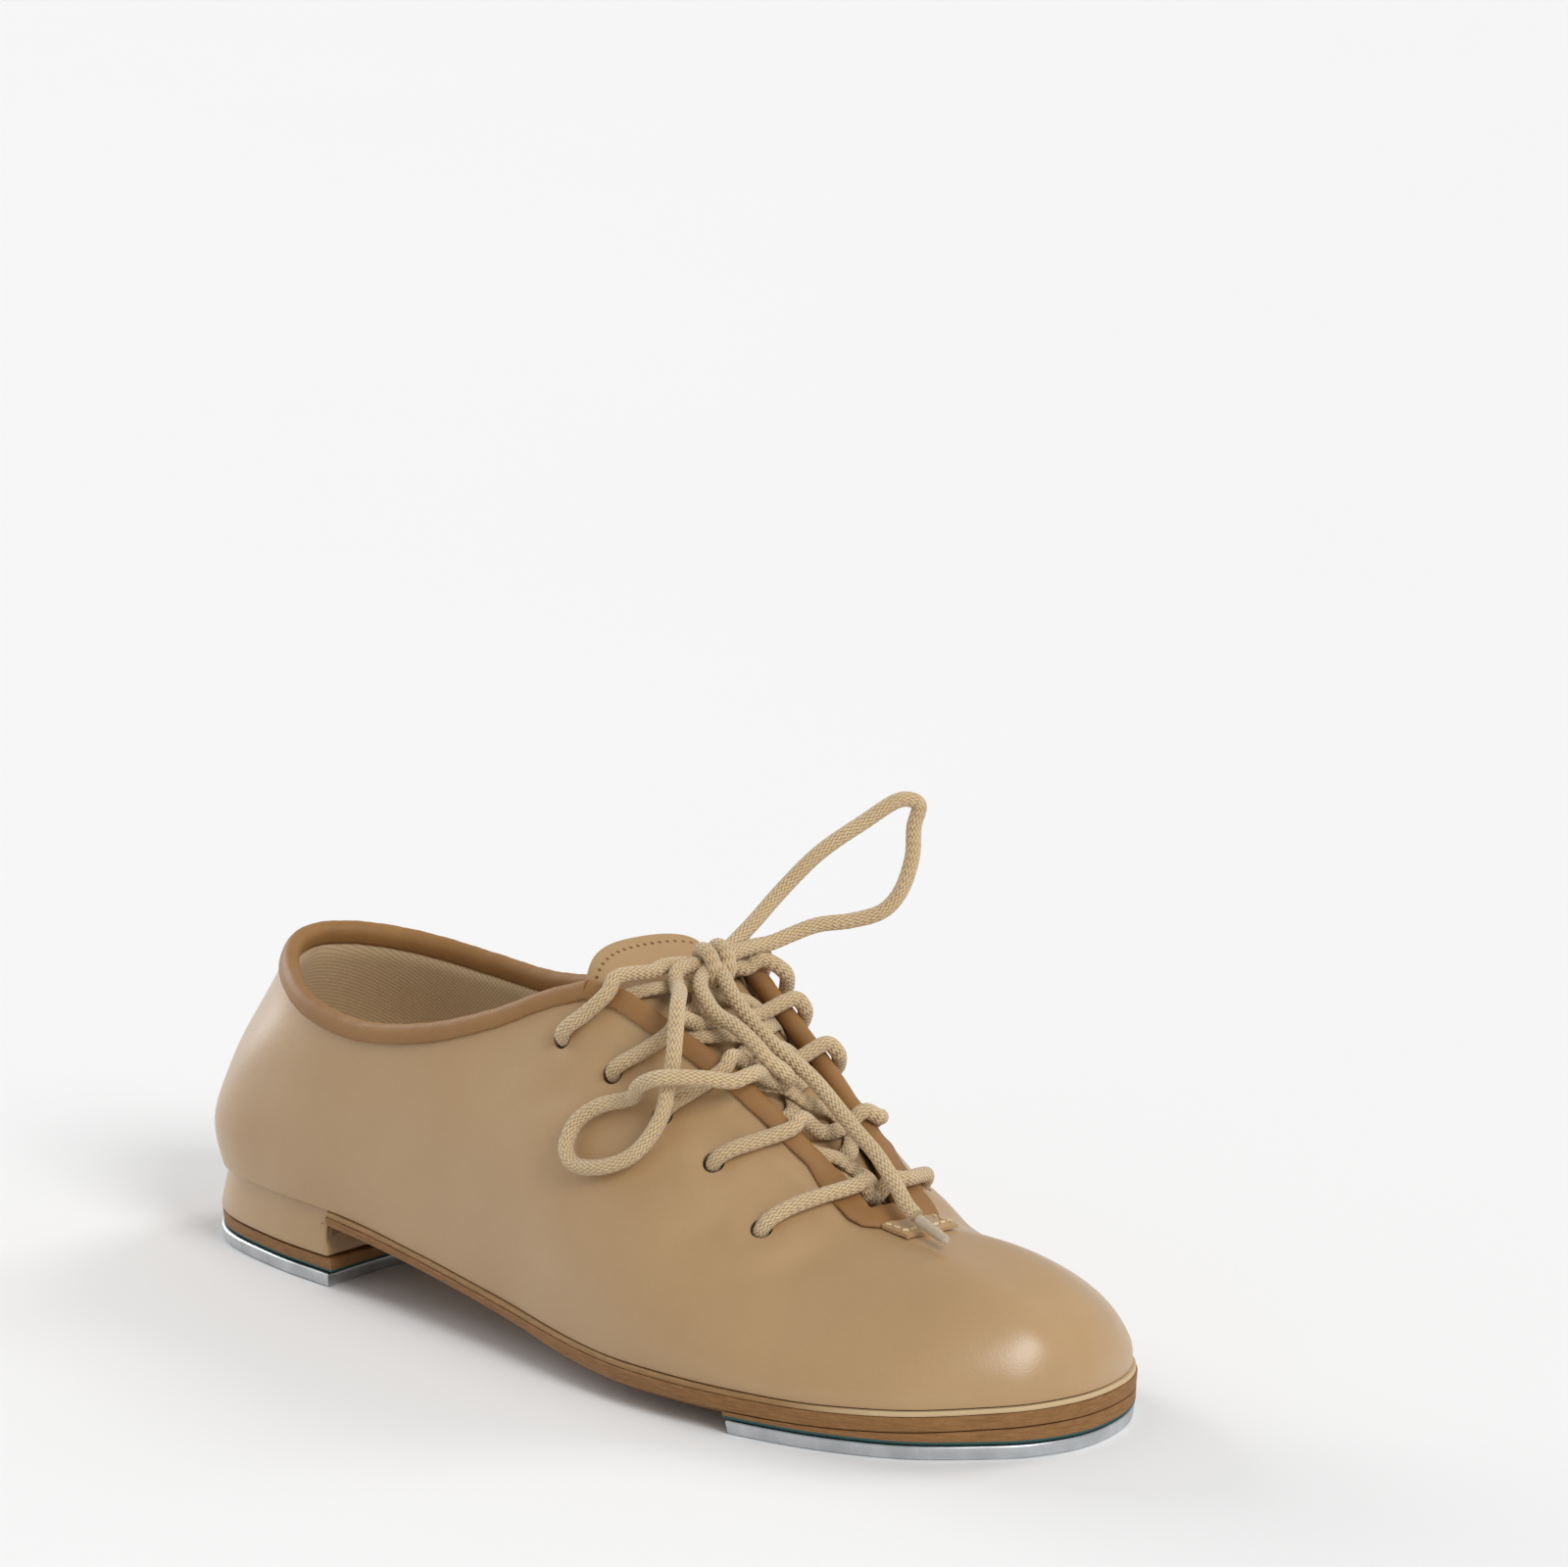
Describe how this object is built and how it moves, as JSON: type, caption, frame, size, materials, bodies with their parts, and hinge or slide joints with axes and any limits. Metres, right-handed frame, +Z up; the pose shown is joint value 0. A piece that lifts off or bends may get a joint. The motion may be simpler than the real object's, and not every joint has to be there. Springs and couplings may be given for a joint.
{
  "type": "tap shoe",
  "caption": "Low laced tap shoe in tan leather with bound edges, a covered heel and aluminium plates screwed under toe and heel.",
  "frame": {"origin": "on the floor under the middle of the shoe's own box", "axes": "+X towards the toe, +Y towards the big-toe side of this right shoe, +Z up"},
  "size_m": [0.25, 0.0939, 0.1098],
  "materials": {
    "tan_leather": "smooth satin, tan",
    "binding": "soft matt, caramel",
    "lining_cloth": "woven, matt",
    "sole_leather": "cut fibrous edge, brown",
    "cream_midsole": "matt cream",
    "fibre_board": "pressed fibre",
    "foam": "soft foam",
    "aluminium_tap": "tumbled satin",
    "steel": "satin",
    "lace_cotton": "braided cotton, pale beige",
    "clear_tip": "clear film over lace"
  },
  "bodies": {
    "forefoot": {"toe_tap": "aluminium_tap", "toe_tap_screw_1": "steel", "toe_tap_screw_2": "steel", "toe_tap_screw_3": "steel", "toe_tap_board": "sole_leather", "ball_pad": "sole_leather", "outsole_front": "sole_leather", "midsole_front": "cream_midsole", "forepart_filler": "foam", "insole_board_front": "fibre_board", "sock_liner_front": "lining_cloth", "vamp": "tan_leather", "vamp_lining": "lining_cloth", "toe_puff": "fibre_board", "throat_tab": "tan_leather", "lace_row_1": "lace_cotton", "aglet_front": "clear_tip"},
    "rearfoot": {"heel_tap": "aluminium_tap", "heel_tap_screw_1": "steel", "heel_tap_screw_2": "steel", "heel_tap_screw_3": "steel", "heel_lift": "sole_leather", "heel_block": "fibre_board", "heel_cover": "tan_leather", "outsole_rear": "sole_leather", "midsole_rear": "cream_midsole", "shank": "steel", "insole_board_rear": "fibre_board", "sock_liner_rear": "lining_cloth", "quarter_lateral": "tan_leather", "quarter_medial": "tan_leather", "quarter_lining_lateral": "lining_cloth", "quarter_lining_medial": "lining_cloth", "heel_counter": "fibre_board", "collar_foam": "foam", "topline_binding": "binding", "tongue": "tan_leather", "tongue_lining": "lining_cloth", "lace_row_4": "lace_cotton", "lace_row_5_lateral": "lace_cotton", "lace_row_5_medial": "lace_cotton", "lace_knot": "lace_cotton", "lace_loop_medial": "lace_cotton", "lace_end_side": "lace_cotton", "aglet_side": "clear_tip", "bend_leather_lateral": "tan_leather", "bend_leather_medial": "tan_leather", "bend_lining_lateral": "lining_cloth", "bend_lining_medial": "lining_cloth", "eyestay_tape_lateral": "fibre_board", "eyestay_tape_medial": "fibre_board", "tongue_lower": "tan_leather", "tongue_lining_lower": "lining_cloth", "lacing_edge_binding": "binding", "lace_row_2": "lace_cotton", "lace_row_3": "lace_cotton", "lace_loop_lateral": "lace_cotton", "lace_end_front": "lace_cotton"}
  },
  "joints": [
    {"name": "ball_flex", "type": "hinge", "parent": "forefoot", "child": "rearfoot", "pos_m": [0.033, 0, 0.0108], "axis": [0, 1, 0], "range_deg": [0, 25], "stiffness_Nm_per_rad": 3, "deforming": ["bend_leather_lateral", "bend_leather_medial", "bend_lining_lateral", "bend_lining_medial", "eyestay_tape_lateral", "eyestay_tape_medial", "tongue_lower", "tongue_lining_lower", "lacing_edge_binding", "lace_row_2", "lace_row_3", "lace_loop_lateral", "lace_end_front"]}
  ]
}
